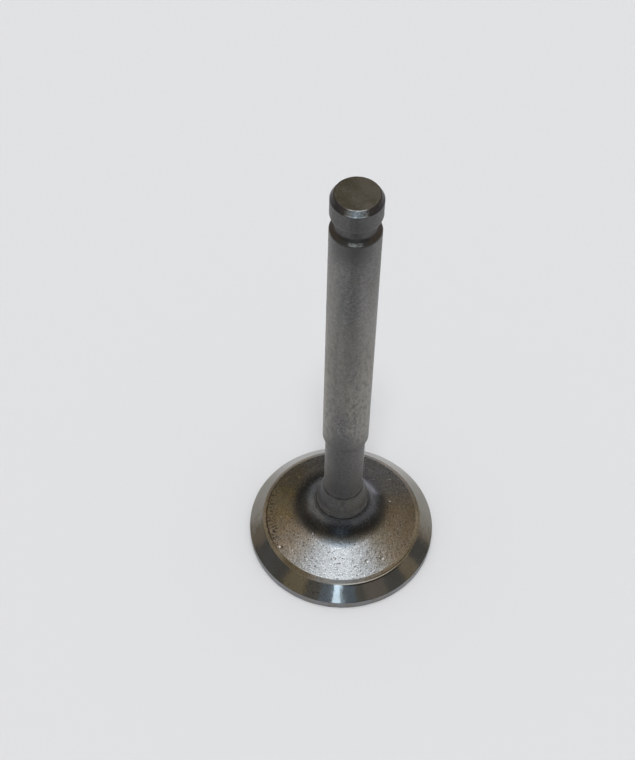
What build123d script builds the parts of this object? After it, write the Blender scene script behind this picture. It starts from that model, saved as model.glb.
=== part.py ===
"""Engine poppet valve: one forging, turned and ground all over except the back of its head.

The valve stands on its combustion face, with its axis on Z and the tip of its stem upwards.
Everything is a turned shape, so each feature is drawn as half a section on the XZ plane,
X being the radius, and the whole section is revolved once.
"""
from build123d import *
from math import cos, radians, sin, tan
import os

# ---- Driving dimensions, in millimetres and degrees ----
length = 89.8               # combustion face to tip face

# Head
head_diameter = 34.5
rim_chamfer = 0.15          # corner of the rim at the combustion face
margin_height = 1.65        # upright rim below the seat
seat_angle = 45.0           # slope of the ground seat above the horizontal
seat_width = 2.45           # seat, measured along the radius
relief_angle = 30.0         # turned land between the seat and the forged back
relief_width = 0.8
back_angle = 20.0           # slope of the forged back
blend_radius = 5.5          # forged blend from the back up to the collar
blend_slope = 75.0          # how steep the blend has become where the turning starts

# Collar: the turned foot of the neck, standing in the forged blend
collar_step = 0.12          # ledge that the turning tool left in the forging
collar_spread = 1.1         # how much wider the collar is at its foot than at its top
collar_height = 5.0
collar_crown_radius = 14.0  # the collar bulges, and is nearly upright at its foot
neck_step = 0.04            # ledge where the neck's own cut ends on the collar

# Neck: the stem undercut above the head
neck_relief = 0.52          # radial depth of the undercut
neck_flare_radius = 12.0    # the neck opens out to the collar on this radius
neck_flare = 0.10           # how far it opens out
relief_end = 31.2           # where the full stem begins, above the combustion face
relief_end_angle = 30.0     # slope of the run-out from the neck to the stem, from the axis

# Stem and tip
stem_diameter = 8.0
tip_chamfer_width = 0.55    # across the radius
tip_chamfer_height = 0.95   # along the axis
tip_edge_radius = 0.12      # both corners of the chamfer are eased
tip_land = 3.25             # full-diameter land between the chamfer and the keeper groove

# Keeper groove
groove_width = 2.9          # at the stem's surface
groove_depth = 0.9
groove_flank_angle = 35.0   # slope of each flank from the horizontal
groove_root_radius = 0.5
groove_edge_radius = 0.3    # lower corner, rounded for the collets

# ---- Sizes that follow ----
head_radius = head_diameter / 2
stem_radius = stem_diameter / 2
neck_radius = stem_radius - neck_relief
seat_inner = head_radius - seat_width
relief_inner = seat_inner - relief_width
neck_foot = neck_radius + neck_flare
collar_top = neck_foot + neck_step
collar_foot = collar_top + collar_spread
blend_top = collar_foot + collar_step
groove_top = length - tip_chamfer_height - tip_land
groove_bottom = groove_top - groove_width


def rise(run, angle):
    """Height gained over a radial run at this slope from the horizontal."""
    return run * tan(radians(angle))


def half_section(outline):
    """Face between the axis and an outline that runs up from the combustion face."""
    first, last = outline @ 0, outline @ 1
    closing = Polyline(last, (0, last.Y), (0, first.Y), first)
    return make_face(outline + closing)


def head_section():
    """Rim, seat, relief land, forged back and the blend up to the collar."""
    seat_top = margin_height + rise(seat_width, seat_angle)
    relief_top = seat_top + rise(relief_width, relief_angle)
    # The blend leaves the back tangentially and ends blend_slope steep at the collar's ledge.
    blend_run = blend_radius * (sin(radians(blend_slope)) - sin(radians(back_angle)))
    back_inner = blend_top + blend_run
    back_top = relief_top + rise(relief_inner - back_inner, back_angle)
    turned = Polyline(
        (head_radius - rim_chamfer, 0),
        (head_radius, rim_chamfer),
        (head_radius, margin_height),
        (seat_inner, seat_top),
        (relief_inner, relief_top),
        (back_inner, back_top),
    )
    up_the_back = (-cos(radians(back_angle)), sin(radians(back_angle)))
    blend = JernArc(turned @ 1, up_the_back, blend_radius, back_angle - blend_slope)
    return half_section(turned + blend), (blend @ 1).Y


def neck_section(foot):
    """Collar, its two ledges, the flared undercut neck and its run-out to the stem."""
    collar_end = foot + collar_height
    run_out = neck_relief / tan(radians(relief_end_angle))
    # The flare is an arc that is upright where it meets the neck.
    flare_height = (2 * neck_flare_radius * neck_flare - neck_flare**2) ** 0.5
    neck_start = collar_end + flare_height
    forging_ledge = Line((blend_top, foot), (collar_foot, foot))
    crown = RadiusArc((collar_foot, foot), (collar_top, collar_end), -collar_crown_radius)
    neck_ledge = Line((collar_top, collar_end), (neck_foot, collar_end))
    flare = RadiusArc((neck_foot, collar_end), (neck_radius, neck_start), neck_flare_radius)
    neck = Polyline(
        (neck_radius, neck_start),
        (neck_radius, relief_end - run_out),
        (stem_radius, relief_end),
    )
    return half_section(forging_ledge + crown + neck_ledge + flare + neck)


def stem_section():
    """Ground stem up to the chamfered tip, with both corners of the chamfer eased."""
    blank = half_section(
        Polyline(
            (stem_radius, relief_end),
            (stem_radius, length - tip_chamfer_height),
            (stem_radius - tip_chamfer_width, length),
        )
    )
    corners = blank.vertices().filter_by(lambda v: v.X > 0 and v.Y > relief_end)
    return fillet(corners, tip_edge_radius)


def groove_section():
    """Keeper groove as it is cut from the side of the stem: sloping flanks and a rounded root."""
    flank_rise = rise(groove_depth, groove_flank_angle)
    root = stem_radius - groove_depth
    cutter = make_face(
        Polyline(
            (stem_radius, groove_bottom),
            (root, groove_bottom + flank_rise),
            (root, groove_top - flank_rise),
            (stem_radius, groove_top),
            close=True,
        )
    )
    roots = cutter.vertices().filter_by(lambda v: v.X < stem_radius - groove_depth / 2)
    return fillet(roots, groove_root_radius)


head, head_top = head_section()
section = head + neck_section(head_top) + stem_section() - groove_section()
lower_lip = section.vertices().sort_by_distance((stem_radius, groove_bottom))[0]
section = fillet(lower_lip, groove_edge_radius)
engine_valve = revolve(Plane.XZ * section, Axis.Z)

os.makedirs("parts", exist_ok=True)
export_step(engine_valve, "parts/engine_valve.step")

steel_density = 7.8e-3      # grams per cubic millimetre
print(f"collar foot at z {head_top:.2f}, groove {groove_bottom:.2f} to {groove_top:.2f}")
print(f"volume {engine_valve.volume:.0f} mm3, about {engine_valve.volume * steel_density:.0f} g")
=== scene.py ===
import bpy
import math
from mathutils import Matrix, Vector


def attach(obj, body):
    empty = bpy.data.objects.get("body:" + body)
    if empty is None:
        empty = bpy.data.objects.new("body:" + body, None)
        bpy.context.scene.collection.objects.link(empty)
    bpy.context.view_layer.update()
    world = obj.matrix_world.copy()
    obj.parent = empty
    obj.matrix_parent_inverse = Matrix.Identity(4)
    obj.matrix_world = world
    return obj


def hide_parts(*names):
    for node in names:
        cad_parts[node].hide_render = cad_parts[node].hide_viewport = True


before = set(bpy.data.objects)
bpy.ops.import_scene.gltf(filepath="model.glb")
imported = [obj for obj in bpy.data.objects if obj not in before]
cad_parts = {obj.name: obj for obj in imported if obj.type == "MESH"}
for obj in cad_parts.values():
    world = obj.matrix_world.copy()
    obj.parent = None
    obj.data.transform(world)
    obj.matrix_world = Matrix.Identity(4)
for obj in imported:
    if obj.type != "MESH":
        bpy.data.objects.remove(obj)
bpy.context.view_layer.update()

mm = 0.001

# Combustion face
# The flat underside of the valve head, which the valve stands on.
# It is left as it was faced on the lathe, with a fine spiral of tool marks.
head_radius = 17.25
rim_chamfer = 0.15
margin_height = 1.65
rim_rounding = 0.04
facing_feed = 0.22
facing_grey = (0.40, 0.395, 0.385, 1.0)
facing_shade = (0.30, 0.29, 0.27, 1.0)
facing_roughness = 0.34
facing_brushing = 0.4
tool_mark_depth = 0.006
across_the_lines = 0.25


class Wire:
    """A node's output socket; arithmetic on wires adds Math nodes to the same tree."""

    def __init__(self, tree, socket=None):
        self.tree = tree
        self.socket = socket

    def add(self, kind, settings=None, inputs=None, output=0):
        """Adds a node: its settings first, then a value or a wire for each named socket."""
        node = self.tree.nodes.new(kind)
        for name, value in (settings or {}).items():
            if name == "stops":
                ramp = node.color_ramp
                for spare in list(ramp.elements)[2:]:
                    ramp.elements.remove(spare)
                while len(ramp.elements) < len(value):
                    ramp.elements.new(1.0)
                for stop, (place, colour) in zip(ramp.elements, value):
                    stop.position = place
                    stop.color = colour
            else:
                setattr(node, name, value)
        for name, value in (inputs or {}).items():
            if isinstance(value, Wire):
                self.tree.links.new(value.socket, node.inputs[name])
            else:
                node.inputs[name].default_value = value
        return Wire(self.tree, node.outputs[output] if node.outputs else None)

    def beside(self, output):
        """Another output of the node that this wire comes from."""
        return Wire(self.tree, self.socket.node.outputs[output])

    def math(self, operation, *others):
        values = dict(enumerate((self, *others)))
        return self.add("ShaderNodeMath", {"operation": operation}, values)

    def __add__(self, other):
        return self.math("ADD", other)

    def __mul__(self, other):
        return self.math("MULTIPLY", other)

    def __sub__(self, other):
        return self.math("SUBTRACT", other)

    def __rsub__(self, other):
        return self.add("ShaderNodeMath", {"operation": "SUBTRACT"}, {0: other, 1: self})

    def __truediv__(self, other):
        return self.math("DIVIDE", other)

    def __rtruediv__(self, other):
        return self.add("ShaderNodeMath", {"operation": "DIVIDE"}, {0: other, 1: self})

    def between(self, low, high):
        """0 below low, 1 above high, with a soft step between them."""
        return self.add(
            "ShaderNodeMapRange",
            {"interpolation_type": "SMOOTHSTEP"},
            {"Value": self, "From Min": low, "From Max": high},
        )

    def tint(self, first, second):
        """The first colour where this wire is 0 and the second where it is 1."""
        return self.add("ShaderNodeMix", {"data_type": "RGBA"}, {0: self, 6: first, 7: second}, 2)


def empty_material(name):
    """A material with no nodes, and the tree to put them in."""
    material = bpy.data.materials.new(name)
    material.use_nodes = True
    material.node_tree.nodes.clear()
    return material, Wire(material.node_tree)


def steel_material(name):
    """An empty material, and the position on the valve in its own millimetres."""
    material, bench = empty_material(name)
    place = bench.add("ShaderNodeTexCoord", output="Object")
    millimetres = place.add(
        "ShaderNodeVectorMath", {"operation": "SCALE"}, {0: place, "Scale": 1 / mm}
    )
    return material, millimetres


def patches(place, size, detail=2.0, stretch=(1.0, 1.0, 1.0), shift=0.0):
    """Soft noise with patches of about this size in millimetres, drawn out by stretch."""
    laid = place.add("ShaderNodeMapping", inputs={
        "Vector": place,
        "Location": (shift, shift, shift),
        "Scale": tuple(1 / (size * s) for s in stretch),
    })
    return laid.add("ShaderNodeTexNoise", inputs={
        "Vector": laid, "Scale": 1.0, "Detail": detail, "Roughness": 0.55,
    })


def from_axis(place):
    """How far the surface is from the valve's axis, in millimetres."""
    across = place.add("ShaderNodeSeparateXYZ", inputs={"Vector": place})
    return (across * across + across.beside("Y") * across.beside("Y")).math("SQRT")


def varied(roughness, noise, spread):
    """The roughness, made uneven by the noise over a spread of this much in all."""
    return noise * spread + (roughness - spread / 2)


def steel_shader(place, colour, roughness, height=None, depth=0.0, anisotropy=0.0):
    """Bare metal of that colour and roughness; height 0 to 1 becomes a relief depth mm deep."""
    inputs = {
        "Base Color": colour,
        "Roughness": roughness,
        "Metallic": 1.0,
        "Anisotropic": anisotropy,
        "Anisotropic Rotation": across_the_lines,
    }
    if height is not None:
        inputs["Normal"] = place.add("ShaderNodeBump", inputs={
            "Strength": 1.0, "Distance": depth * mm, "Height": height,
        })
    surface = place.add("ShaderNodeBsdfPrincipled", inputs=inputs)
    surface.add("ShaderNodeOutputMaterial", inputs={"Surface": surface})


finishes = []
outline = []


def cut_to(radius, height, finish, rounding=0.0, steps=3, spacing=None, forged=False):
    """Carries the half section on to this corner, in millimetres, along a face of that finish."""
    if finish not in finishes:
        finishes.append(finish)
    outline.append({
        "corner": Vector((radius, height)),
        "finish": finishes.index(finish),
        "rounding": rounding,
        "steps": steps,
        "spacing": spacing,
        "forged": forged,
    })


faced_steel, place = steel_material("faced_steel")
tool_marks = (from_axis(place) * (math.tau / facing_feed)).math("SINE") * 0.5 + 0.5
handling = patches(place, 6.0, 4.0)
facing_colour = handling.between(0.35, 0.7).tint(facing_shade, facing_grey)
facing_sheen = varied(facing_roughness, handling, 0.12)
steel_shader(place, facing_colour, facing_sheen, tool_marks, tool_mark_depth, facing_brushing)

cut_to(0.0, 0.0, faced_steel)
cut_to(head_radius - rim_chamfer, 0.0, faced_steel, rim_rounding)

# Margin
# The upright rim between the face and the seat. It is ground with the seat, but the
# fire reaches it, so it is duller and has a faint blue cast. Its left and right sides
# are painted nearly black as painted shade.
margin_grey = (0.222, 0.228, 0.240, 1.0)
margin_brown = (0.215, 0.205, 0.188, 1.0)
margin_shade_black = (0.062, 0.062, 0.060, 1.0)
margin_roughness = 0.26
margin_brushing = 0.5
margin_line_depth = 0.002
margin_rounding = 0.06
margin_shaded_sides = 92.0


def facing(place, bearing):
    """1 on the side at this bearing, -1 on the far side; 0 is the front and 90 the right."""
    level = place.add(
        "ShaderNodeVectorMath", {"operation": "MULTIPLY"}, {0: place, 1: (1.0, 1.0, 0.0)}
    )
    spoke = level.add("ShaderNodeVectorMath", {"operation": "NORMALIZE"}, {0: level})
    aim = (math.sin(math.radians(bearing)), -math.cos(math.radians(bearing)), 0.0)
    return spoke.add("ShaderNodeVectorMath", {"operation": "DOT_PRODUCT"}, {0: spoke, 1: aim}, "Value")


def flanks_of(place, bearing, start, full):
    """1 on the two sides at this bearing, left and right, and 0 between them."""
    either = facing(place, bearing).math("MAXIMUM", facing(place, -bearing))
    return either.between(start, full)


def lines_round(place, width, drawn_out):
    """Lines of this width that run round the valve, each so many times as long."""
    return patches(place, width, 2.0, (drawn_out, drawn_out, 1.0))


margin_steel, place = steel_material("margin_steel")
rim_lines = lines_round(place, 0.06, 40.0)
heat = patches(place, 2.5, 3.0)
margin_colour = heat.between(0.4, 0.7).tint(margin_grey, margin_brown)
# Painted shade: both sides of the rim are painted nearly black.
margin_side_shade = flanks_of(place, margin_shaded_sides, 0.70, 0.98) * 0.95
margin_colour = margin_side_shade.tint(margin_colour, margin_shade_black)
margin_sheen = varied(margin_roughness, heat, 0.12)
steel_shader(place, margin_colour, margin_sheen, rim_lines, margin_line_depth, margin_brushing)

cut_to(head_radius, rim_chamfer, margin_steel, rim_rounding)
cut_to(head_radius, margin_height, margin_steel, margin_rounding)

# Seat
# The seat is a 45-degree cone, ground after hardening so that it seals on its ring.
# The grinding leaves hair-fine lines round it, which draw every reflection out across them.
seat_angle = 45.0
seat_width = 2.45
seat_inner = head_radius - seat_width
seat_top = margin_height + seat_width * math.tan(math.radians(seat_angle))
seat_grey = (0.50, 0.50, 0.495, 1.0)
seat_smoke = (0.45, 0.44, 0.42, 1.0)
seat_shade_brown = (0.235, 0.217, 0.178, 1.0)
seat_rust = (0.22, 0.15, 0.09, 1.0)
seat_edge_shade = (0.12, 0.12, 0.12, 1.0)
seat_roughness = 0.165
seat_brushing = 0.75
seat_relief_depth = 0.035
seat_rounding = 0.08
edge_shade_start = 0.26
edge_shade_full = 0.14
seat_shaded_sides = 98.0
freckled_side = -27.0
edge_shade_side = 28.0

ground_steel, place = steel_material("ground_steel")
inset = from_axis(place) - seat_inner
ground_lines = lines_round(place, 0.05, 40.0)
smoke = patches(place, 3.5, 3.0)
seat_colour = smoke.between(0.35, 0.65).tint(seat_grey, seat_smoke)
# Painted shade: the seat is painted darker and browner on its sides and towards the back.
seat_colour = (flanks_of(place, seat_shaded_sides, 0.72, 0.97) * 0.85).tint(seat_colour, seat_shade_brown)
seat_colour = (facing(place, 180.0).between(0.1, 0.8) * 0.35).tint(seat_colour, seat_shade_brown)
freckles = patches(place, 0.4, 2.0, shift=4.0).between(0.57, 0.66)
freckles = freckles * facing(place, freckled_side).between(0.90, 0.98)
seat_colour = (freckles * 0.6).tint(seat_colour, seat_rust)
# Painted shade: a dark line along the seat's inner edge on the front right.
painted_shade = inset.between(edge_shade_start, edge_shade_full)
painted_shade = painted_shade * facing(place, edge_shade_side).between(0.88, 0.98)
seat_colour = (painted_shade * 0.8).tint(seat_colour, seat_edge_shade)
seat_sheen = varied(seat_roughness, smoke, 0.06)
seat_relief = ground_lines * 0.02 + patches(place, 1.8, 1.5, shift=15.0)
steel_shader(place, seat_colour, seat_sheen, seat_relief, seat_relief_depth, seat_brushing)

cut_to(seat_inner, seat_top, ground_steel, seat_rounding)

# Relief land
# A narrow land of plain turned steel, at 30 degrees above the seat, so that the seat can be
# reground. It is stained brown and sooted along its inner edge. Near its outer edge it has a
# painted dark line of shade and a painted bright highlight, and its sides are painted lighter
# and warmer as painted light.
relief_angle = 30.0
relief_width = 0.8
relief_inner = seat_inner - relief_width
relief_top = seat_top + relief_width * math.tan(math.radians(relief_angle))
land_grey = (0.285, 0.300, 0.320, 1.0)
land_stain_and_light = (0.400, 0.354, 0.285, 1.0)
land_olive = (0.200, 0.172, 0.115, 1.0)
land_grime_and_shade = (0.095, 0.075, 0.055, 1.0)
land_lit = (0.60, 0.55, 0.47, 1.0)
land_glint = (0.75, 0.75, 0.72, 1.0)
land_roughness = 0.325
land_brushing = 0.3
land_line_depth = 0.004
land_rounding = 0.12
shade_line_inset = 0.28
glint_inset = 0.19
shade_line_side = 68.0
shade_fading_side = 105.0
lapped_side = -100.0
glint_side = 22.0
greasy_side = -33.0
land_warm_lit_sides = 90.0
land_lit_sides = 70.0
flecked_sides = 60.0

turned_steel, place = steel_material("turned_steel")
radius = from_axis(place)
land_lines = lines_round(place, 0.09, 30.0)
stains = patches(place, 1.6, 4.0)
lapping = patches(place, 0.7, 3.0, shift=7.0)
laps = 1 - (radius - relief_inner - lapping * 0.5).between(-0.15, 0.1)
# Painted shade: a dark line near the land's outer edge, mostly on the right.
shade_line = 1 - (radius - seat_inner + shade_line_inset).math("ABSOLUTE").between(0.05, 0.13)
shade_line = shade_line * facing(place, shade_line_side).between(0.60, 0.80) * 0.8
shade_line = shade_line * (1 - facing(place, shade_fading_side).between(0.65, 0.90) * 0.55)
laps_and_shade_line = (laps * facing(place, lapped_side).between(0.60, 0.90)).math("MAXIMUM", shade_line)
# Painted highlight: a bright line just inside the land's outer edge, on the front right.
edge_glint = (radius - seat_inner).between(-glint_inset - 0.05, -glint_inset + 0.05)
edge_glint = edge_glint * facing(place, glint_side).between(0.86, 0.97)
greasy = facing(place, greasy_side).between(0.95, 0.995) * 0.75
# The sides take the stain colour as painted light, with real stains in patches as well.
browned_and_lit = flanks_of(place, land_warm_lit_sides, 0.1, 0.7) * 0.9 + stains.between(0.45, 0.68) * 0.4
flecks = patches(place, 0.35, 2.0, shift=30.0).between(0.48, 0.62)
flecks = flecks * flanks_of(place, flecked_sides, 0.3, 0.9) * 0.45
land_colour = browned_and_lit.math("MINIMUM", 1.0).tint(land_grey, land_stain_and_light)
# Painted light: the sides are painted lighter again.
land_colour = (flanks_of(place, land_lit_sides, 0.84, 0.98) * 0.7).tint(land_colour, land_lit)
land_colour = greasy.tint(land_colour, land_olive)
land_colour = flecks.tint(land_colour, land_grime_and_shade)
land_colour = edge_glint.tint(laps_and_shade_line.tint(land_colour, land_grime_and_shade), land_glint)
land_sheen = varied(land_roughness, stains, 0.15)
steel_shader(place, land_colour, land_sheen, land_lines, land_line_depth, land_brushing)

cut_to(relief_inner, relief_top, turned_steel, land_rounding)

# Forged back
# The back of the head is left as forged and blasted, from the land up into the neck. It is a
# pitted satin grey. Its flanks are tinted by heat, and their brown and bronze are also painted
# reflection of a warm room. By the neck it is burnt nearly black, with the ring's edge shaped
# as painted shade and lightened near the collar as painted light.
back_angle = 20.0
blend_radius = 5.5
blend_slope = 75.0
collar_step = 0.12
collar_spread = 1.1
neck_step = 0.04
neck_relief = 0.52
neck_flare = 0.10
stem_radius = 4.0
neck_radius = stem_radius - neck_relief
neck_foot = neck_radius + neck_flare
collar_top = neck_foot + neck_step
collar_foot = collar_top + collar_spread
blend_top = collar_foot + collar_step
ring_spacing = 0.15
blend_steps = 36
forged_grey = (0.365, 0.365, 0.365, 1.0)
forged_pink = (0.365, 0.300, 0.235, 1.0)
forged_olive = (0.325, 0.275, 0.185, 1.0)
forged_copper = (0.460, 0.375, 0.292, 1.0)
forged_bronze = (0.440, 0.358, 0.192, 1.0)
forged_reflection_blue = (0.200, 0.232, 0.265, 1.0)
forged_burnt_and_shade = (0.084, 0.087, 0.093, 1.0)
forged_ash_and_sheen = (0.370, 0.370, 0.410, 1.0)
forged_lit_grey = (0.144, 0.142, 0.136, 1.0)
forged_shade_black = (0.064, 0.067, 0.072, 1.0)
forged_pit = (0.105, 0.086, 0.067, 1.0)
forged_roughness = 0.29
skin_depth = 0.046
ring_inner = 7.15
ring_outer = 9.45
ring_ragged = 0.6
lit_inner = 6.2
lit_outer = 7.0
pale_patch_side = 140.0
pale_patch_inner = 6.4
pale_patch_outer = 9.2
rust_side = -84.0
rust_start = 12.3
foot_shade_edge = 5.05
bronzed_and_lit_side = -96.0
browned_and_lit_side = 75.0
bronzest_side = -106.0
shaded_back_side = -150.0

back_slope = math.radians(back_angle)
steep_slope = math.radians(blend_slope)
back_inner = blend_top + blend_radius * (math.sin(steep_slope) - math.sin(back_slope))
back_top = relief_top + (relief_inner - back_inner) * math.tan(back_slope)
foot_height = back_top + blend_radius * (math.cos(back_slope) - math.cos(steep_slope))
tangent = blend_radius * math.tan((steep_slope - back_slope) / 2)
corner_radius = back_inner - tangent * math.cos(back_slope)
corner_height = back_top + tangent * math.sin(back_slope)

forged_steel, place = steel_material("forged_steel")
radius = from_axis(place)
front = facing(place, 0.0)
heated = patches(place, 4.0, 3.0)
clouds = patches(place, 2.6, 4.0, shift=11.0).between(0.25, 0.75) * 0.5 + 0.5
# The flanks' pink, olive, copper and bronze are heat tint and also painted reflection of a warm room.
browned_and_lit = heated.between(0.36, 0.64).tint(forged_pink, forged_olive)
skin = (facing(place, browned_and_lit_side).between(0.66, 0.97) * clouds).tint(forged_grey, browned_and_lit)
bronzed_and_lit = (heated * 0.4 + facing(place, bronzest_side) * 0.6).between(0.60, 0.86)
bronzed_and_lit = bronzed_and_lit.tint(forged_copper, forged_bronze)
skin = (facing(place, bronzed_and_lit_side).between(0.30, 0.85) * clouds).tint(skin, bronzed_and_lit)
# Painted shade: the back left is darkened towards the burnt grey.
skin = (facing(place, shaded_back_side).between(0.72, 0.97) * 0.35).tint(skin, forged_burnt_and_shade)
peppered = patches(place, 0.28, 2.0, shift=30.0).between(0.50, 0.68)
peppered = peppered * (flanks_of(place, 80.0, 0.3, 0.9) * 0.50 + 0.26)
skin = peppered.tint(skin, forged_burnt_and_shade)

# The burnt ring is dark oxide, but its edge is moved by bearing as painted shade, wider to the
# left and a little to the right, and a blue band on its edge in front is a painted reflection.
shifted = radius + patches(place, 0.9, 3.0, shift=5.0) * ring_ragged
shifted = shifted + front * 0.8 - front.between(0.85, 1.0) * 0.55
shifted = shifted + flanks_of(place, 22.0, 0.91, 1.0) * 0.24
shifted = shifted - facing(place, -95.0).math("MAXIMUM", 0.0) * 1.15
shifted = shifted - facing(place, 80.0).math("MAXIMUM", 0.0) * 0.4
near_neck = 1 - shifted.between(ring_inner, ring_outer)
# Painted reflection: a blue band on the ring's outer edge in front.
blue_reflection = near_neck * (1 - near_neck) * 3.2 * front.between(0.86, 0.99)
# Near the collar the ring is painted lighter, most on the left, as painted light, and darker in front
# and on the back left, as painted shade.
low = radius.between(lit_outer, lit_inner)
painted_light_low = facing(place, -68.0).between(0.72, 0.95).math("MAXIMUM", 0.12) * low
painted_shade = front.between(0.90, 0.995) + facing(place, -132.0).between(0.88, 0.98) * 0.8
ring_colour = (painted_shade * low).tint(painted_light_low.tint(forged_burnt_and_shade, forged_lit_grey), forged_shade_black)
skin = blue_reflection.tint(near_neck.tint(skin, ring_colour), forged_reflection_blue)

# Ash lies behind the ring, painted lighter as painted light; rust pits lie by the land; and
# the foot of the collar is painted dark as painted shade.
ash_and_sheen = patches(place, 1.4, 3.0, shift=3.0) * 0.6 + 0.5
ash_and_sheen = ash_and_sheen * facing(place, pale_patch_side).between(0.88, 0.97)
ash_and_sheen = ash_and_sheen * radius.between(pale_patch_inner - 1.0, pale_patch_inner + 1.0)
ash_and_sheen = ash_and_sheen * radius.between(pale_patch_outer + 1.0, pale_patch_outer - 1.0)
skin = (ash_and_sheen * 0.9).tint(skin, forged_ash_and_sheen)
rust = radius.between(rust_start - 0.5, rust_start + 0.5)
rust = rust * facing(place, rust_side).between(0.86, 0.97)
pitted = (patches(place, 0.38, 1.0, shift=9.0) + rust * 0.13).between(0.65, 0.72)
# Painted shade: a dark band round the foot of the collar, strongest on the sides.
foot_shade = radius.between(foot_shade_edge + 0.1, foot_shade_edge - 0.1) * flanks_of(place, 85.0, 0.2, 0.8) * 0.6
forged_colour = foot_shade.tint(pitted.tint(skin, forged_pit), forged_shade_black)
forged_sheen = varied(forged_roughness, patches(place, 0.3, 2.0, shift=2.0), 0.20)
forged_relief = patches(place, 0.26, 3.0) - pitted * 0.6
steel_shader(place, forged_colour, forged_sheen, forged_relief, skin_depth)

cut_to(
    corner_radius, corner_height, forged_steel, blend_radius,
    steps=blend_steps, spacing=ring_spacing, forged=True,
)
cut_to(blend_top, foot_height, forged_steel, forged=True)

# Collar and neck
# The turned foot of the neck stands in the forging behind a small ledge, and the neck
# above it is undercut below the stem's size. Both carry the stem's dark surface. The collar
# is painted paler low down, most on its sides, as painted light, and dark at its foot and
# along its top on the sides, as painted shade.
collar_height = 5.0
collar_end = foot_height + collar_height
crown_radius = 14.0
rounding_slack = 0.5
crown_chord = math.hypot(collar_spread, collar_height)
crown_lean = math.atan2(collar_spread, collar_height) - math.asin(crown_chord / 2 / crown_radius)
crown_turn = 2 * math.asin(crown_chord / 2 / crown_radius)
crown_reach = crown_radius * math.tan(crown_turn / 2)
crown_corner = collar_foot - crown_reach * math.sin(crown_lean)
crown_height = foot_height + crown_reach * math.cos(crown_lean)
ledge_edge = 0.01
flare_radius = 12.0
flare_height = math.sqrt(2 * flare_radius * neck_flare - neck_flare ** 2)
flare_turn = math.atan2(neck_flare, flare_height)
flare_corner = collar_end + flare_height - flare_radius * math.tan(flare_turn)
relief_end = 31.2
relief_end_angle = 30.0
neck_end = relief_end - neck_relief / math.tan(math.radians(relief_end_angle))
collar_grey = (0.106, 0.107, 0.111, 1.0)
collar_olive = (0.140, 0.137, 0.122, 1.0)
collar_pale = (0.370, 0.368, 0.364, 1.0)
collar_black = (0.045, 0.044, 0.043, 1.0)
collar_roughness = 0.4
grain_depth = 0.03
foot_rounding = 0.03
oily_side = 50.0
pale_sides = 65.0
collar_shaded_sides = 80.0
pale_start = foot_height + 2.4
pale_full = foot_height + 0.4


def above_face(place):
    """How high the surface is above the combustion face, in millimetres."""
    return place.add("ShaderNodeSeparateXYZ", inputs={"Vector": place}, output="Z")


collar_steel, place = steel_material("collar_steel")
height = above_face(place)
mottle = patches(place, 0.9, 4.0)
grains = patches(place, 0.3, 2.0, shift=6.0)
oily = (mottle * 0.6 + facing(place, oily_side) * 0.12 + 0.14).between(0.4, 0.6)
# Painted light: the collar is painted paler low down, most on its sides.
paled = 1 - height.between(pale_full, pale_start)
paled = paled * (flanks_of(place, pale_sides, 0.70, 0.95) * 0.48 + 0.50)
collar_colour = paled.tint(oily.tint(collar_grey, collar_olive), collar_pale)
collar_colour = (grains.between(0.42, 0.60) * 0.45).tint(collar_colour, collar_black)
# Painted shade: a dark band at the collar's foot, and along its top on the sides.
shade_height = mottle * 0.35 + flanks_of(place, collar_shaded_sides, 0.35, 0.85) * 0.08
crevice = 1 - (height - foot_height - shade_height).between(0.0, 0.2)
shoulder = 1 - (height - collar_end).math("ABSOLUTE").between(0.10, 0.25)
crevice = crevice + shoulder * flanks_of(place, collar_shaded_sides, 0.60, 0.95)
collar_colour = (crevice * 0.85).tint(collar_colour, collar_black)
collar_sheen = varied(collar_roughness, mottle, 0.20)
steel_shader(place, collar_colour, collar_sheen, grains, grain_depth)

cut_to(collar_foot, foot_height, collar_steel, foot_rounding)
cut_to(crown_corner, crown_height, collar_steel, crown_radius - rounding_slack, steps=12)
cut_to(collar_top, collar_end, collar_steel, ledge_edge)

# Stem
# The stem is centreless ground and then hardened in a salt bath, which turns it a dark
# satin grey. It is mottled brown and olive by oil, and nicked by handling. Lighter strips up
# its sides are painted sheen, and a dark band under the groove is painted shade.
stem_grey = (0.276, 0.274, 0.275, 1.0)
stem_dark = (0.070, 0.069, 0.071, 1.0)
stem_streak = (0.132, 0.134, 0.131, 1.0)
stem_olive = (0.248, 0.237, 0.208, 1.0)
stem_brown = (0.256, 0.233, 0.214, 1.0)
stem_purple = (0.178, 0.171, 0.178, 1.0)
stem_wear_and_sheen = (0.305, 0.290, 0.262, 1.0)
stem_nick = (0.36, 0.37, 0.38, 1.0)
stem_darkened = (0.095, 0.093, 0.093, 1.0)
stem_roughness = 0.47
stem_relief_depth = 0.014
neck_rounding = 0.3
shoulder_rounding = 0.15
# The heights in millimetres over which each mark on the stem grows or fades.
neck_paling = (30.0, 33.0)
purple_fading = (33.0, 37.0)
wear_growing = (33.0, 36.0)
wear_fading = (44.0, 58.0)
streaks_growing = (46.0, 70.0)
grit_fading = (45.0, 75.0)
shade_growing = (76.5, 82.0)
groove_edge = (82.8, 82.9)
top_darkening = (82.9, 84.5)
strips_growing = (31.5, 34.0)
front_growing = (38.0, 46.0)
front_fading = (60.0, 70.0)
wear_side = 36.0
front_side = -8.0
# Each lighter strip up a side, painted sheen: its bearing, how squarely a face must look that
# way for the strip to start, the heights over which it fades out, and its strength.
strips = [
    (62.0, 0.45, (60.0, 80.0), 0.80),
    (-72.0, 0.60, (72.0, 84.0), 0.75),
    (-84.0, 0.86, (50.0, 72.0), 0.70),
]
nick_fading = (0.5, 0.6)
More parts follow.
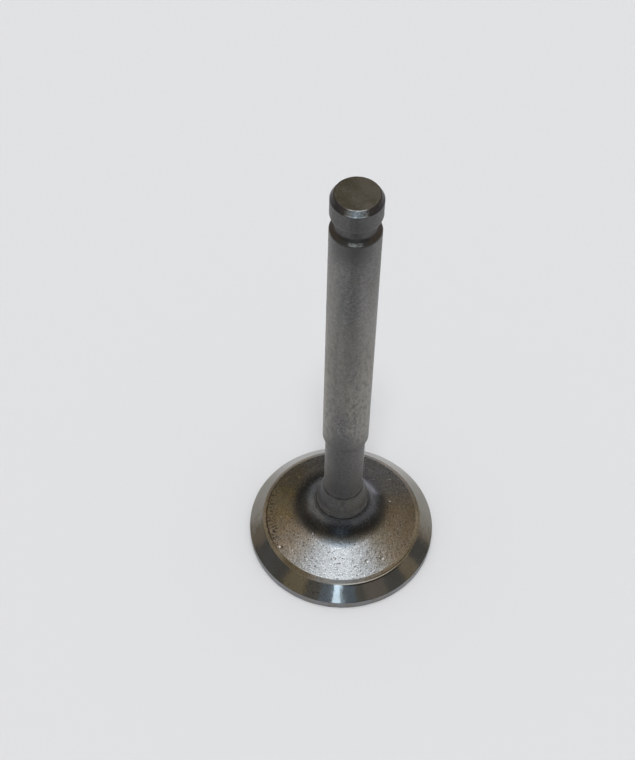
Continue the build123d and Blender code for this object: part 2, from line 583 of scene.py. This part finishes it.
# Each nick: its bearing, height, length, width, and lean from the upright in degrees.
nicks = [
    (-24.9, 38.6, 1.3, 0.17, -26.0),
    (-18.8, 36.6, 1.2, 0.16, -26.0),
    (-27.5, 37.4, 0.8, 0.15, -30.0),
    (36.0, 36.6, 1.0, 0.20, -28.0),
    (150.0, 52.0, 2.0, 0.20, 15.0),
    (-140.0, 66.0, 1.6, 0.18, -12.0),
]


def nick(place, bearing, height, long, wide, lean):
    """1 on a scratch in the stem of this length and width, leaning from the upright."""
    turned = math.radians(bearing)
    tilt = math.radians(lean)
    sideways = Vector((math.cos(turned), math.sin(turned), 0.0))
    along = Vector((0.0, 0.0, math.cos(tilt))) + sideways * math.sin(tilt)
    over = sideways * math.cos(tilt) - Vector((0.0, 0.0, math.sin(tilt)))
    middle = Vector((stem_radius * math.sin(turned), -stem_radius * math.cos(turned), height))
    mask = facing(place, bearing).between(*nick_fading)
    for direction, reach in ((along, long / 2), (over, wide / 2)):
        away = place.add(
            "ShaderNodeVectorMath", {"operation": "DOT_PRODUCT"}, {0: place, 1: direction}, "Value"
        ) - middle.dot(direction)
        mask = mask * (1 - away.math("ABSOLUTE").between(reach * 0.4, reach))
    return mask


stem_steel, place = steel_material("stem_steel")
height = above_face(place)
oil = patches(place, 5.0, 4.0, (1.0, 1.0, 1.8))
bath = patches(place, 7.0, 3.0, shift=20.0)
streaks = patches(place, 1.5, 3.0, (1.0, 1.0, 12.0), 4.0)
mottle = patches(place, 0.5, 3.0, shift=8.0)
rubbing = patches(place, 0.6, 6.0, (1.0, 1.0, 2.0), 13.0)
grinding = lines_round(place, 0.06, 50.0)
speckle = patches(place, 0.26, 2.0, shift=31.0)
grit = patches(place, 0.2, 2.0, shift=40.0).between(0.44, 0.60)
stem_colour = bath.between(0.42, 0.66).tint(stem_grey, stem_brown)
stem_colour = oil.between(0.46, 0.66).tint(stem_colour, stem_olive)
stem_colour = (1 - height.between(*purple_fading)).tint(stem_colour, stem_purple)
streaks = streaks.between(0.42, 0.70) * 0.4 + height.between(*streaks_growing) * 0.18
stem_colour = streaks.tint(stem_colour, stem_streak)
stem_colour = (mottle.between(0.38, 0.62) * 0.60).tint(stem_colour, stem_streak)
grainy = 1 - height.between(*grit_fading) * 0.5
stem_colour = (speckle.between(0.42, 0.58) * grainy * 0.9).tint(stem_colour, stem_streak)
grit = grit * grainy * (0.58 - height.between(*neck_paling) * 0.20)
stem_colour = grit.tint(stem_colour, stem_dark)

# The surface is rubbed thin low down on the right. Lighter strips up both sides are painted
# sheen, and a lighter strip runs up the front.
rubbed = rubbing.between(0.40, 0.70) * speckle.between(0.38, 0.58)
rubbed = rubbed * height.between(*wear_growing) * (1 - height.between(*wear_fading))
rubbed = rubbed * (facing(place, wear_side).between(0.72, 0.95) + 0.3)
lighter_strips = facing(place, front_side).between(0.90, 0.99) * 0.45
lighter_strips = lighter_strips * height.between(*front_growing) * (1 - height.between(*front_fading))
for bearing, start, fading, share in strips:
    strip = facing(place, bearing).between(start, 1.0) * (1 - height.between(*fading))
    lighter_strips = lighter_strips + strip * share
lighter_strips = lighter_strips * (height.between(*strips_growing) * 0.65 + 0.35)
wear_and_sheen = rubbed * 0.85 + lighter_strips * rubbing.between(0.15, 0.65)
stem_colour = wear_and_sheen.math("MINIMUM", 1.0).tint(stem_colour, stem_wear_and_sheen)
# The stem is darker from the groove up to the tip.
stem_colour = (height.between(*top_darkening) * 0.66).tint(stem_colour, stem_darkened)
for bearing, level, long, wide, lean in nicks:
    stem_colour = (nick(place, bearing, level, long, wide, lean) * 0.6).tint(stem_colour, stem_nick)
# Painted shade: a dark band just below the groove's lower lip, on the front and sides.
under_lip = height.between(*shade_growing) * (1 - height.between(*groove_edge))
under_lip = under_lip * facing(place, front_side).between(0.40, 0.95) * (1 - mottle * 0.3)
stem_colour = (under_lip * 0.95).tint(stem_colour, stem_darkened)
stem_sheen = varied(varied(stem_roughness, oil, 0.10), mottle, 0.14)
stem_relief = grinding * 0.2 + mottle
steel_shader(place, stem_colour, stem_sheen, stem_relief, stem_relief_depth)

cut_to(neck_foot, collar_end, collar_steel, ledge_edge)
cut_to(neck_radius, flare_corner, stem_steel, flare_radius - rounding_slack, steps=6)
cut_to(neck_radius, neck_end, stem_steel, neck_rounding)
cut_to(stem_radius, relief_end, stem_steel, shoulder_rounding)

# Keeper groove
# The groove takes the two halves of the spring keeper and is turned before the bath.
# Its flanks slope into a round root. The lower one is dark, painted lighter on its sides
# as painted light, with a painted highlight along its lip in front.
length = 89.8
tip_chamfer_width = 0.55
tip_chamfer_height = 0.95
tip_land = 3.25
groove_width = 2.9
groove_depth = 0.9
groove_flank_angle = 35.0
groove_flank = groove_depth * math.tan(math.radians(groove_flank_angle))
groove_top = length - tip_chamfer_height - tip_land
groove_bottom = groove_top - groove_width
groove_root = stem_radius - groove_depth
groove_grey = (0.085, 0.084, 0.080, 1.0)
groove_blue = (0.070, 0.076, 0.086, 1.0)
groove_lit_grey = (0.137, 0.126, 0.127, 1.0)
groove_lip = (0.36, 0.40, 0.42, 1.0)
groove_roughness = 0.42
groove_mark_depth = 0.004
lip_rounding = 0.3
root_rounding = 0.5
groove_blending = 1.2
lip_height = groove_bottom + 0.22
paled_sides = 90.0
highlight_side = 1.0

groove_steel, place = steel_material("groove_steel")
blotches = patches(place, 1.4, 4.0)
groove_colour = blotches.between(0.4, 0.7).tint(groove_grey, groove_blue)
# Painted light: the lower flank is painted lighter on its sides.
groove_colour = flanks_of(place, paled_sides, 0.45, 0.9).tint(groove_colour, groove_lit_grey)
# Painted highlight: a pale blue line along the lip in front.
lip = 1 - (above_face(place) - lip_height).math("ABSOLUTE").between(0.10, 0.24)
lip = lip * facing(place, highlight_side).between(0.94, 0.99)
lip = lip * patches(place, 0.4, 3.0).between(0.25, 0.60)
groove_colour = (lip * 0.85).tint(groove_colour, groove_lip)
groove_sheen = varied(groove_roughness, blotches, 0.20)
groove_marks = lines_round(place, 0.1, 20.0)
steel_shader(place, groove_colour, groove_sheen, groove_marks, groove_mark_depth)

cut_to(stem_radius, groove_bottom, stem_steel, lip_rounding, steps=5)
cut_to(groove_root, groove_bottom + groove_flank, groove_steel, root_rounding, steps=5)
cut_to(groove_root, groove_top - groove_flank, stem_steel, root_rounding, steps=5)
cut_to(stem_radius, groove_top, stem_steel, groove_blending, steps=10)

# Tip
# The end of the stem is ground flat where the rocker bears on it, inside a chamfer.
# The bath has left it olive grey, lighter towards the right, and the chamfer brown. The
# chamfer's front is painted bright as painted highlight, brightest at its lower corner where
# it is also rubbed, and its sides are painted nearly black as painted shade.
tip_rounding = 0.12
tip_roughness = 0.36
wheel_mark_depth = 0.003
chamfer_roughness = 0.38
chamfer_relief_depth = 0.03
chamfer_shaded_sides = 84.0
tip_grey = (0.280, 0.268, 0.242, 1.0)
tip_olive = (0.176, 0.160, 0.124, 1.0)
chamfer_brown = (0.120, 0.105, 0.100, 1.0)
chamfer_grey = (0.150, 0.150, 0.155, 1.0)
chamfer_bright = (0.86, 0.92, 0.94, 1.0)
chamfer_black = (0.050, 0.045, 0.046, 1.0)

chamfer_steel, place = steel_material("chamfer_steel")
rubbing = patches(place, 0.5, 3.0)
corner = (above_face(place) - (length - tip_chamfer_height)).math("ABSOLUTE")
# Painted highlight: the chamfer's front is painted bright, brightest at its lower corner, where it is
# also rubbed.
rubbed = 1 - corner.between(0.12, 0.30) * 0.45
rubbed = rubbed * rubbing.between(0.24, 0.56) * facing(place, highlight_side).between(0.86, 0.985)
chamfer_colour = rubbing.between(0.4, 0.6).tint(chamfer_brown, chamfer_grey)
chamfer_colour = rubbed.tint(chamfer_colour, chamfer_bright)
# Painted shade: the chamfer's sides are painted nearly black.
chamfer_side_shade = flanks_of(place, chamfer_shaded_sides, 0.55, 0.92) * 0.7
chamfer_colour = chamfer_side_shade.tint(chamfer_colour, chamfer_black)
chamfer_relief = patches(place, 0.3, 3.0)
steel_shader(place, chamfer_colour, chamfer_roughness, chamfer_relief, chamfer_relief_depth)

tip_steel, place = steel_material("tip_steel")
rubbed = patches(place, 2.2, 4.0)
wheel_marks = patches(place, 0.25, 4.0, (1.0, 1.8, 1.0))
sideways = place.add("ShaderNodeSeparateXYZ", inputs={"Vector": place}, output="X")
# The face is also made lighter towards the right.
tip_tone = rubbed * 0.62 + wheel_marks * 0.38 - sideways * 0.022
tip_colour = tip_tone.between(0.38, 0.62).tint(tip_grey, tip_olive)
tip_sheen = varied(tip_roughness, rubbed, 0.20)
steel_shader(place, tip_colour, tip_sheen, wheel_marks, wheel_mark_depth)

cut_to(stem_radius, length - tip_chamfer_height, stem_steel, tip_rounding)
cut_to(stem_radius - tip_chamfer_width, length, chamfer_steel, tip_rounding)
cut_to(0.0, length, tip_steel)

# Turning the valve
# The valve is one forging, so its whole half section is turned about the axis in one go.
# The forged back then gets its uneven skin: slow waves, a fine grain and scattered pits.
facets_round = 450
holding_edge = 0.03
skin_fade = 0.5
weld_distance = 0.001
pit_slope = (0.05, 0.32)


def rounded_section(corners):
    """Rings of the section with its corners rounded: each has its place, finish and skin."""
    rings = []
    taken = 0.0
    for i, corner in enumerate(corners):
        here = corner["corner"]
        finish = corner["finish"]
        skin = 1.0 if corner["forged"] else 0.0
        stretch = []
        if corner["rounding"] == 0.0:
            stretch.append(here)
            taken = 0.0
        else:
            before = (here - corners[i - 1]["corner"]).normalized()
            after = (corners[i + 1]["corner"] - here).normalized()
            turn = math.atan2(before.x * after.y - before.y * after.x, before.dot(after))
            reach = corner["rounding"] * math.tan(abs(turn) / 2)
            side = math.copysign(1.0, turn)
            centre = here - before * reach + Vector((-before.y, before.x)) * side * corner["rounding"]
            if (here - corners[i - 1]["corner"]).length - taken - reach > 2 * holding_edge:
                stretch.append(here - before * (reach + holding_edge))
            taken = reach
            for step in range(corner["steps"] + 1):
                swing = turn * step / corner["steps"]
                arm = Vector((before.y, -before.x)) * side * corner["rounding"]
                turned = Vector((
                    arm.x * math.cos(swing) - arm.y * math.sin(swing),
                    arm.x * math.sin(swing) + arm.y * math.cos(swing),
                ))
                stretch.append(centre + turned)
            if (corners[i + 1]["corner"] - here).length - reach > 3 * holding_edge:
                stretch.append(here + after * (reach + holding_edge))
                taken = reach + holding_edge
        if corner["spacing"]:
            start = rings[-1][0]
            count = math.ceil((stretch[0] - start).length / corner["spacing"])
            filled = [start.lerp(stretch[0], k / count) for k in range(1, count)]
            stretch = filled + stretch
        rings += [(point, finish, skin) for point in stretch]
    return rings


rings = rounded_section(outline)
drawing = bpy.data.meshes.new("valve_section")
drawing.from_pydata(
    [(point.x * mm, 0.0, point.y * mm) for point, finish, skin in rings],
    [(i, i + 1) for i in range(len(rings) - 1)],
    [],
)
travelled = [0.0]
for i in range(1, len(rings)):
    travelled.append(travelled[-1] + (rings[i][0] - rings[i - 1][0]).length)
forged_run = [travelled[i] for i, (point, finish, skin) in enumerate(rings) if skin]
skins = []
outwards = []
for i, run in enumerate(travelled):
    along = rings[min(i + 1, len(rings) - 1)][0] - rings[max(i - 1, 0)][0]
    along.normalize()
    outwards += [along.y, 0.0, -along.x]
    from_edge = min(run - forged_run[0], forged_run[-1] - run)
    skins.append(max(0.0, min(1.0, from_edge / skin_fade)))
for name, kind, field, values in (
    ("finish", "INT", "value", [finish for point, finish, skin in rings]),
    ("skin", "FLOAT", "value", skins),
    ("outward", "FLOAT_VECTOR", "vector", outwards),
):
    drawing.attributes.new(name, kind, "POINT").data.foreach_set(field, values)

lathe = bpy.data.node_groups.new("valve_lathe", "GeometryNodeTree")
lathe_sizes = {
    "Facets Round": ("NodeSocketInt", facets_round),
    "Wave Height": ("NodeSocketFloat", 0.03 * mm),
    "Wave Size": ("NodeSocketFloat", 2.5 * mm),
    "Grain Height": ("NodeSocketFloat", 0.018 * mm),
    "Grain Size": ("NodeSocketFloat", 0.5 * mm),
    "Pit Depth": ("NodeSocketFloat", 0.17 * mm),
    "Pit Spacing": ("NodeSocketFloat", 1.25 * mm),
    "Pit Share": ("NodeSocketFloat", 0.42),
    "Seed": ("NodeSocketFloat", 4.0),
}
lathe.interface.new_socket("Geometry", in_out="INPUT", socket_type="NodeSocketGeometry")
lathe.interface.new_socket("Geometry", in_out="OUTPUT", socket_type="NodeSocketGeometry")
sockets = {
    name: lathe.interface.new_socket(name, in_out="INPUT", socket_type=kind)
    for name, (kind, value) in lathe_sizes.items()
}
bench = Wire(lathe)
given = bench.add("NodeGroupInput", output="Geometry")
facets = given.beside("Facets Round")
index = bench.add("GeometryNodeInputIndex")
ring_count = bench.add("GeometryNodeAttributeDomainSize", inputs={"Geometry": given})
blank = bench.add("GeometryNodeMeshGrid", inputs={
    "Size X": 1.0, "Size Y": 1.0, "Vertices X": ring_count, "Vertices Y": facets + 1,
})
ring = (index / (facets + 1)).math("FLOOR")
spoke = index - ring * (facets + 1)
turn = spoke * math.tau / facets


def drawn(kind, name, ring):
    """An attribute of the drawn section, at the ring with this number."""
    value = bench.add("GeometryNodeInputNamedAttribute", {"data_type": kind}, {"Name": name})
    return bench.add("GeometryNodeSampleIndex", {"data_type": kind}, {
        "Geometry": given, "Value": value, "Index": ring,
    })


def swung(vector):
    """A vector of the section's plane, swung round the axis to its own spoke."""
    return bench.add("ShaderNodeVectorRotate", {"rotation_type": "Z_AXIS"}, {
        "Vector": vector, "Angle": turn,
    })


surface = swung(drawn("FLOAT_VECTOR", "position", ring))
outward = swung(drawn("FLOAT_VECTOR", "outward", ring))
skin = drawn("FLOAT", "skin", ring)
seed = given.beside("Seed")


def uneven(size, detail):
    """Noise from -1 to 1 over the valve, with bumps of this size."""
    noise = bench.add("ShaderNodeTexNoise", {"noise_dimensions": "4D"}, {
        "Vector": surface, "W": seed, "Scale": 1 / size, "Detail": detail,
    })
    return noise * 2 - 1


def scattered(spacing, share):
    """1 in the middle of a pit and 0 between pits: this share of the cells so far apart has one."""
    cells = bench.add("ShaderNodeTexVoronoi", {"voronoi_dimensions": "4D"}, {
        "Vector": surface, "W": seed, "Scale": 1 / spacing, "Randomness": 1.0,
    })
    lot = cells.add("FunctionNodeSeparateColor", inputs={"Color": cells.beside("Color")}, output="Red")
    return (1 - cells.between(*pit_slope)) * (1 - (lot - share).between(-0.001, 0.001))


height = (
    uneven(given.beside("Wave Size"), 1.0) * given.beside("Wave Height")
    + uneven(given.beside("Grain Size"), 2.0) * given.beside("Grain Height")
    - scattered(given.beside("Pit Spacing"), given.beside("Pit Share")) * given.beside("Pit Depth")
) * skin
lift = bench.add(
    "ShaderNodeVectorMath", {"operation": "SCALE"}, {0: outward, "Scale": height}
)
face_ring = (index / facets).math("FLOOR") + 1
marked = bench.add(
    "GeometryNodeStoreNamedAttribute", {"data_type": "INT", "domain": "FACE"},
    {"Geometry": blank, "Name": "finish", "Value": drawn("INT", "finish", face_ring)},
)
turned = bench.add(
    "GeometryNodeSetPosition", inputs={"Geometry": marked, "Position": surface, "Offset": lift}
)
closed = bench.add(
    "GeometryNodeMergeByDistance", inputs={"Geometry": turned, "Distance": weld_distance * mm}
)
smooth = bench.add("GeometryNodeSetShadeSmooth", inputs={"Geometry": closed})
whole = bench.add("GeometryNodeRealizeInstances", inputs={"Geometry": smooth})
finish_here = bench.add(
    "GeometryNodeInputNamedAttribute", {"data_type": "INT"}, {"Name": "finish"}
)
for number, finish in enumerate(finishes):
    chosen = bench.add(
        "FunctionNodeCompare", {"data_type": "INT", "operation": "EQUAL"}, {2: finish_here, 3: number}
    )
    whole = bench.add(
        "GeometryNodeSetMaterial", inputs={"Geometry": whole, "Selection": chosen, "Material": finish}
    )
whole.add("NodeGroupOutput", inputs={"Geometry": whole})

section = bpy.data.objects.new("section", drawing)
bpy.context.scene.collection.objects.link(section)
turning = section.modifiers.new("turning", "NODES")
turning.node_group = lathe
for name, (kind, value) in lathe_sizes.items():
    turning[sockets[name].identifier] = value
whole_valve = bpy.data.meshes.new_from_object(
    section.evaluated_get(bpy.context.evaluated_depsgraph_get())
)
bpy.data.objects.remove(section)
valve = bpy.data.objects.new("poppet_valve", whole_valve)
bpy.context.scene.collection.objects.link(valve)
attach(valve, "root")
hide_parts("engine_valve")

# Floor
# A pale table top of matt laminate, which the valve stands on. It runs on far beyond
# the tent, so that its edge is never seen.
floor_half = 6.0
floor_colour = (0.752, 0.758, 0.772, 1.0)
floor_roughness = 0.9
floor_mesh = bpy.data.meshes.new("table_top")
floor_mesh.from_pydata(
    [(-floor_half, -floor_half, 0), (floor_half, -floor_half, 0), (floor_half, floor_half, 0),
     (-floor_half, floor_half, 0)],
    [],
    [(0, 1, 2, 3)],
)
table_top = bpy.data.objects.new("table_top", floor_mesh)
bpy.context.scene.collection.objects.link(table_top)
laminate, bench = empty_material("laminate")
matt = bench.add("ShaderNodeBsdfPrincipled", inputs={
    "Base Color": floor_colour, "Roughness": floor_roughness, "Specular IOR Level": 0.0,
})
matt.add("ShaderNodeOutputMaterial", inputs={"Surface": matt})
floor_mesh.materials.append(laminate)

# Studio
# An even pale room with two far lamps. The cloth tent over the table, the cards inside it
# and the two flags on the floor are only for the metal to mirror: they neither light nor shade.
tent_radius = 1.4
card_gap = 0.05
card_step = 3.0
# The tent's colours, by elevation in degrees.
tent_stops = [
    (0.0, (0.095, 0.092, 0.088, 1.0)),
    (28.0, (0.085, 0.083, 0.075, 1.0)),
    (34.0, (0.14, 0.12, 0.09, 1.0)),
    (40.0, (0.29, 0.24, 0.16, 1.0)),
    (50.0, (0.40, 0.33, 0.23, 1.0)),
    (60.0, (0.47, 0.42, 0.36, 1.0)),
    (66.0, (0.60, 0.57, 0.54, 1.0)),
    (71.0, (0.88, 0.90, 0.91, 1.0)),
    (76.0, (1.60, 1.70, 1.80, 1.0)),
    (81.0, (3.8, 4.1, 4.35, 1.0)),
    (90.0, (5.5, 6.0, 6.4, 1.0)),
]
# Each card: its name, its left and right bearings, its lower and upper elevations, its colour.
panels = [
    ("front_lamp", -4.6, 4.6, 10.0, 40.0, (1.35, 1.70, 2.0, 1.0)),
    ("front_left_blue", -19.0, -4.6, 12.0, 45.0, (0.145, 0.175, 0.21, 1.0)),
    ("front_right_blue", 4.6, 19.0, 12.0, 45.0, (0.125, 0.16, 0.195, 1.0)),
    ("left_brown", -57.0, -34.0, 10.0, 42.0, (0.205, 0.17, 0.11, 1.0)),
    ("left_pale", -122.0, -96.0, 0.0, 12.0, (0.25, 0.21, 0.165, 1.0)),
    ("left_wall", -140.0, -106.0, 12.0, 30.0, (0.42, 0.35, 0.26, 1.0)),
    ("left_edge", -170.0, -140.0, 0.0, 12.0, (0.44, 0.42, 0.38, 1.0)),
    ("left_corner", -180.0, -141.0, 16.0, 58.0, (0.06, 0.055, 0.045, 1.0)),
    ("right_faint", 29.0, 51.0, 10.0, 42.0, (0.16, 0.142, 0.12, 1.0)),
    ("right_brown", 71.0, 88.0, 5.0, 34.0, (0.205, 0.17, 0.115, 1.0)),
    ("right_pale", 108.0, 122.0, 0.0, 12.0, (0.27, 0.225, 0.17, 1.0)),
    ("right_wall", 106.0, 142.0, 12.0, 30.0, (0.44, 0.38, 0.30, 1.0)),
    ("back_edge", 140.0, 168.0, 0.0, 12.0, (0.42, 0.42, 0.48, 1.0)),
]
# Each flag on the floor: its name, left, right, near and far edges in millimetres, its grey.
floor_flags = [
    ("near_flag", -15.0, 14.0, -60.0, -30.0, 0.86),
    ("far_flag", -36.0, 38.0, -150.0, -60.0, 0.14),
]
flag_lift = 0.05
room_light = 0.36
overhead_share = 0.34
key_share = 0.30
overhead_elevation = 90.0
overhead_width = 41.0
key_elevation = 70.0
key_width = 9.5


def mirrored_only(name, points, faces):
    """A sheet of the studio that only mirror rays see, so that it neither lights nor shades."""
    mesh = bpy.data.meshes.new(name)
    mesh.from_pydata(points, [], faces)
    made = bpy.data.objects.new(name, mesh)
    bpy.context.scene.collection.objects.link(made)
    made.visible_camera = False
    made.visible_diffuse = False
    made.visible_shadow = False
    return made


def card(name, left, right, low, high, reach):
    """A card curved round the valve between two bearings and two elevations, in degrees."""
    across_steps = max(2, int((right - left) / card_step))
    up_steps = max(2, int((high - low) / card_step))
    points = []
    for row in range(up_steps + 1):
        elevation = math.radians(low + (high - low) * row / up_steps)
        for column in range(across_steps + 1):
            bearing = math.radians(left + (right - left) * column / across_steps)
            points.append((
                reach * math.cos(elevation) * math.sin(bearing),
                -reach * math.cos(elevation) * math.cos(bearing),
                reach * math.sin(elevation),
            ))
    width = across_steps + 1
    faces = [
        (r * width + c, r * width + c + 1, (r + 1) * width + c + 1, (r + 1) * width + c)
        for r in range(up_steps) for c in range(across_steps)
    ]
    return mirrored_only(name, points, faces)


def glowing(sheet, bench, cloth, colour, strength):
    """Hangs a cloth on a sheet, with that colour and strength of glow."""
    glow = bench.add("ShaderNodeEmission", inputs={"Color": colour, "Strength": strength})
    glow.add("ShaderNodeOutputMaterial", inputs={"Surface": glow})
    sheet.data.materials.append(cloth)


def as_share(colour, brightest):
    """The colour as a share of the brightest one."""
    return tuple(c / brightest for c in colour[:3]) + (1.0,)


tent = card("tent", -180.0, 180.0, 0.0, 90.0, tent_radius)
tent_cloth, bench = empty_material("tent_cloth")
spot = bench.add("ShaderNodeTexCoord", output="Object")
upright = spot.add("ShaderNodeSeparateXYZ", inputs={"Vector": spot}, output="Z")
elevation = (upright / tent_radius).math("MINIMUM", 1.0).math("ARCSINE") * (2 / math.pi)
brightest = max(max(colour) for place, colour in tent_stops)
shade = elevation.add("ShaderNodeValToRGB", {
    "stops": [(place / 90.0, as_share(colour, brightest)) for place, colour in tent_stops],
}, {"Fac": elevation})
glowing(tent, bench, tent_cloth, shade, brightest)

sheets = [
    (card(name, left, right, low, high, tent_radius - card_gap), colour)
    for name, left, right, low, high, colour in panels
]
for name, left, right, near, far, grey in floor_flags:
    corners = ((left, near), (right, near), (right, far), (left, far))
    points = [(x * mm, y * mm, flag_lift * mm) for x, y in corners]
    sheets.append((mirrored_only(name, points, [(0, 1, 2, 3)]), (grey, grey, grey, 1.0)))
for sheet, colour in sheets:
    sheet_cloth, bench = empty_material(sheet.name)
    brightest = max(colour[:3])
    glowing(sheet, bench, sheet_cloth, as_share(colour, brightest), brightest)

room = bpy.data.worlds.new("room")
bpy.context.scene.world = room
room.use_nodes = True
room.node_tree.nodes.clear()
bench = Wire(room.node_tree)
ray = bench.add("ShaderNodeLightPath", output="Is Camera Ray")
seen = (ray + ray.beside("Is Glossy Ray") + ray.beside("Is Transmission Ray")).math("MINIMUM", 1.0)
walls = seen.tint((room_light, room_light, room_light, 1.0), floor_colour)
air = walls.add("ShaderNodeBackground", inputs={"Color": walls, "Strength": 1.0})
air.add("ShaderNodeOutputWorld", inputs={"Surface": air})
room.cycles_visibility.glossy = False


def far_lamp(name, share, elevation, spread):
    """A far lamp in front, this high and this wide in degrees, with this share of the floor's light."""
    steep = math.radians(elevation)
    lamp = bpy.data.lights.new(name, "SUN")
    lamp.angle = math.radians(spread)
    lamp.energy = share * math.pi / math.sin(steep)
    hung = bpy.data.objects.new(name, lamp)
    bpy.context.scene.collection.objects.link(hung)
    hung.rotation_euler = (math.pi / 2 - steep, 0.0, 0.0)
    hung.visible_glossy = False


far_lamp("overhead_lamp", overhead_share, overhead_elevation, overhead_width)
far_lamp("key_lamp", key_share, key_elevation, key_width)

# Camera
# A hand-held camera above and in front of the valve, looking down on it at a slant. Its
# frame leans and turns a little, and its place is in metres from the foot of the axis.
lens = 68.876
sensor_width = 36.0
camera_place = (0.0, -0.14624, 0.23733)
camera_turn = 1.9937
camera_dip = 52.606
camera_roll = 1.2877
camera = bpy.data.objects.new("camera", bpy.data.cameras.new("camera"))
bpy.context.scene.collection.objects.link(camera)
camera.data.lens = lens
camera.data.sensor_width = sensor_width
camera.matrix_world = (
    Matrix.Translation(camera_place)
    @ Matrix.Rotation(math.radians(camera_turn), 4, "Z")
    @ Matrix.Rotation(math.radians(90.0 - camera_dip), 4, "X")
    @ Matrix.Rotation(math.radians(camera_roll), 4, "Z")
)
bpy.context.scene.camera = camera
bpy.context.scene.view_settings.view_transform = "Standard"
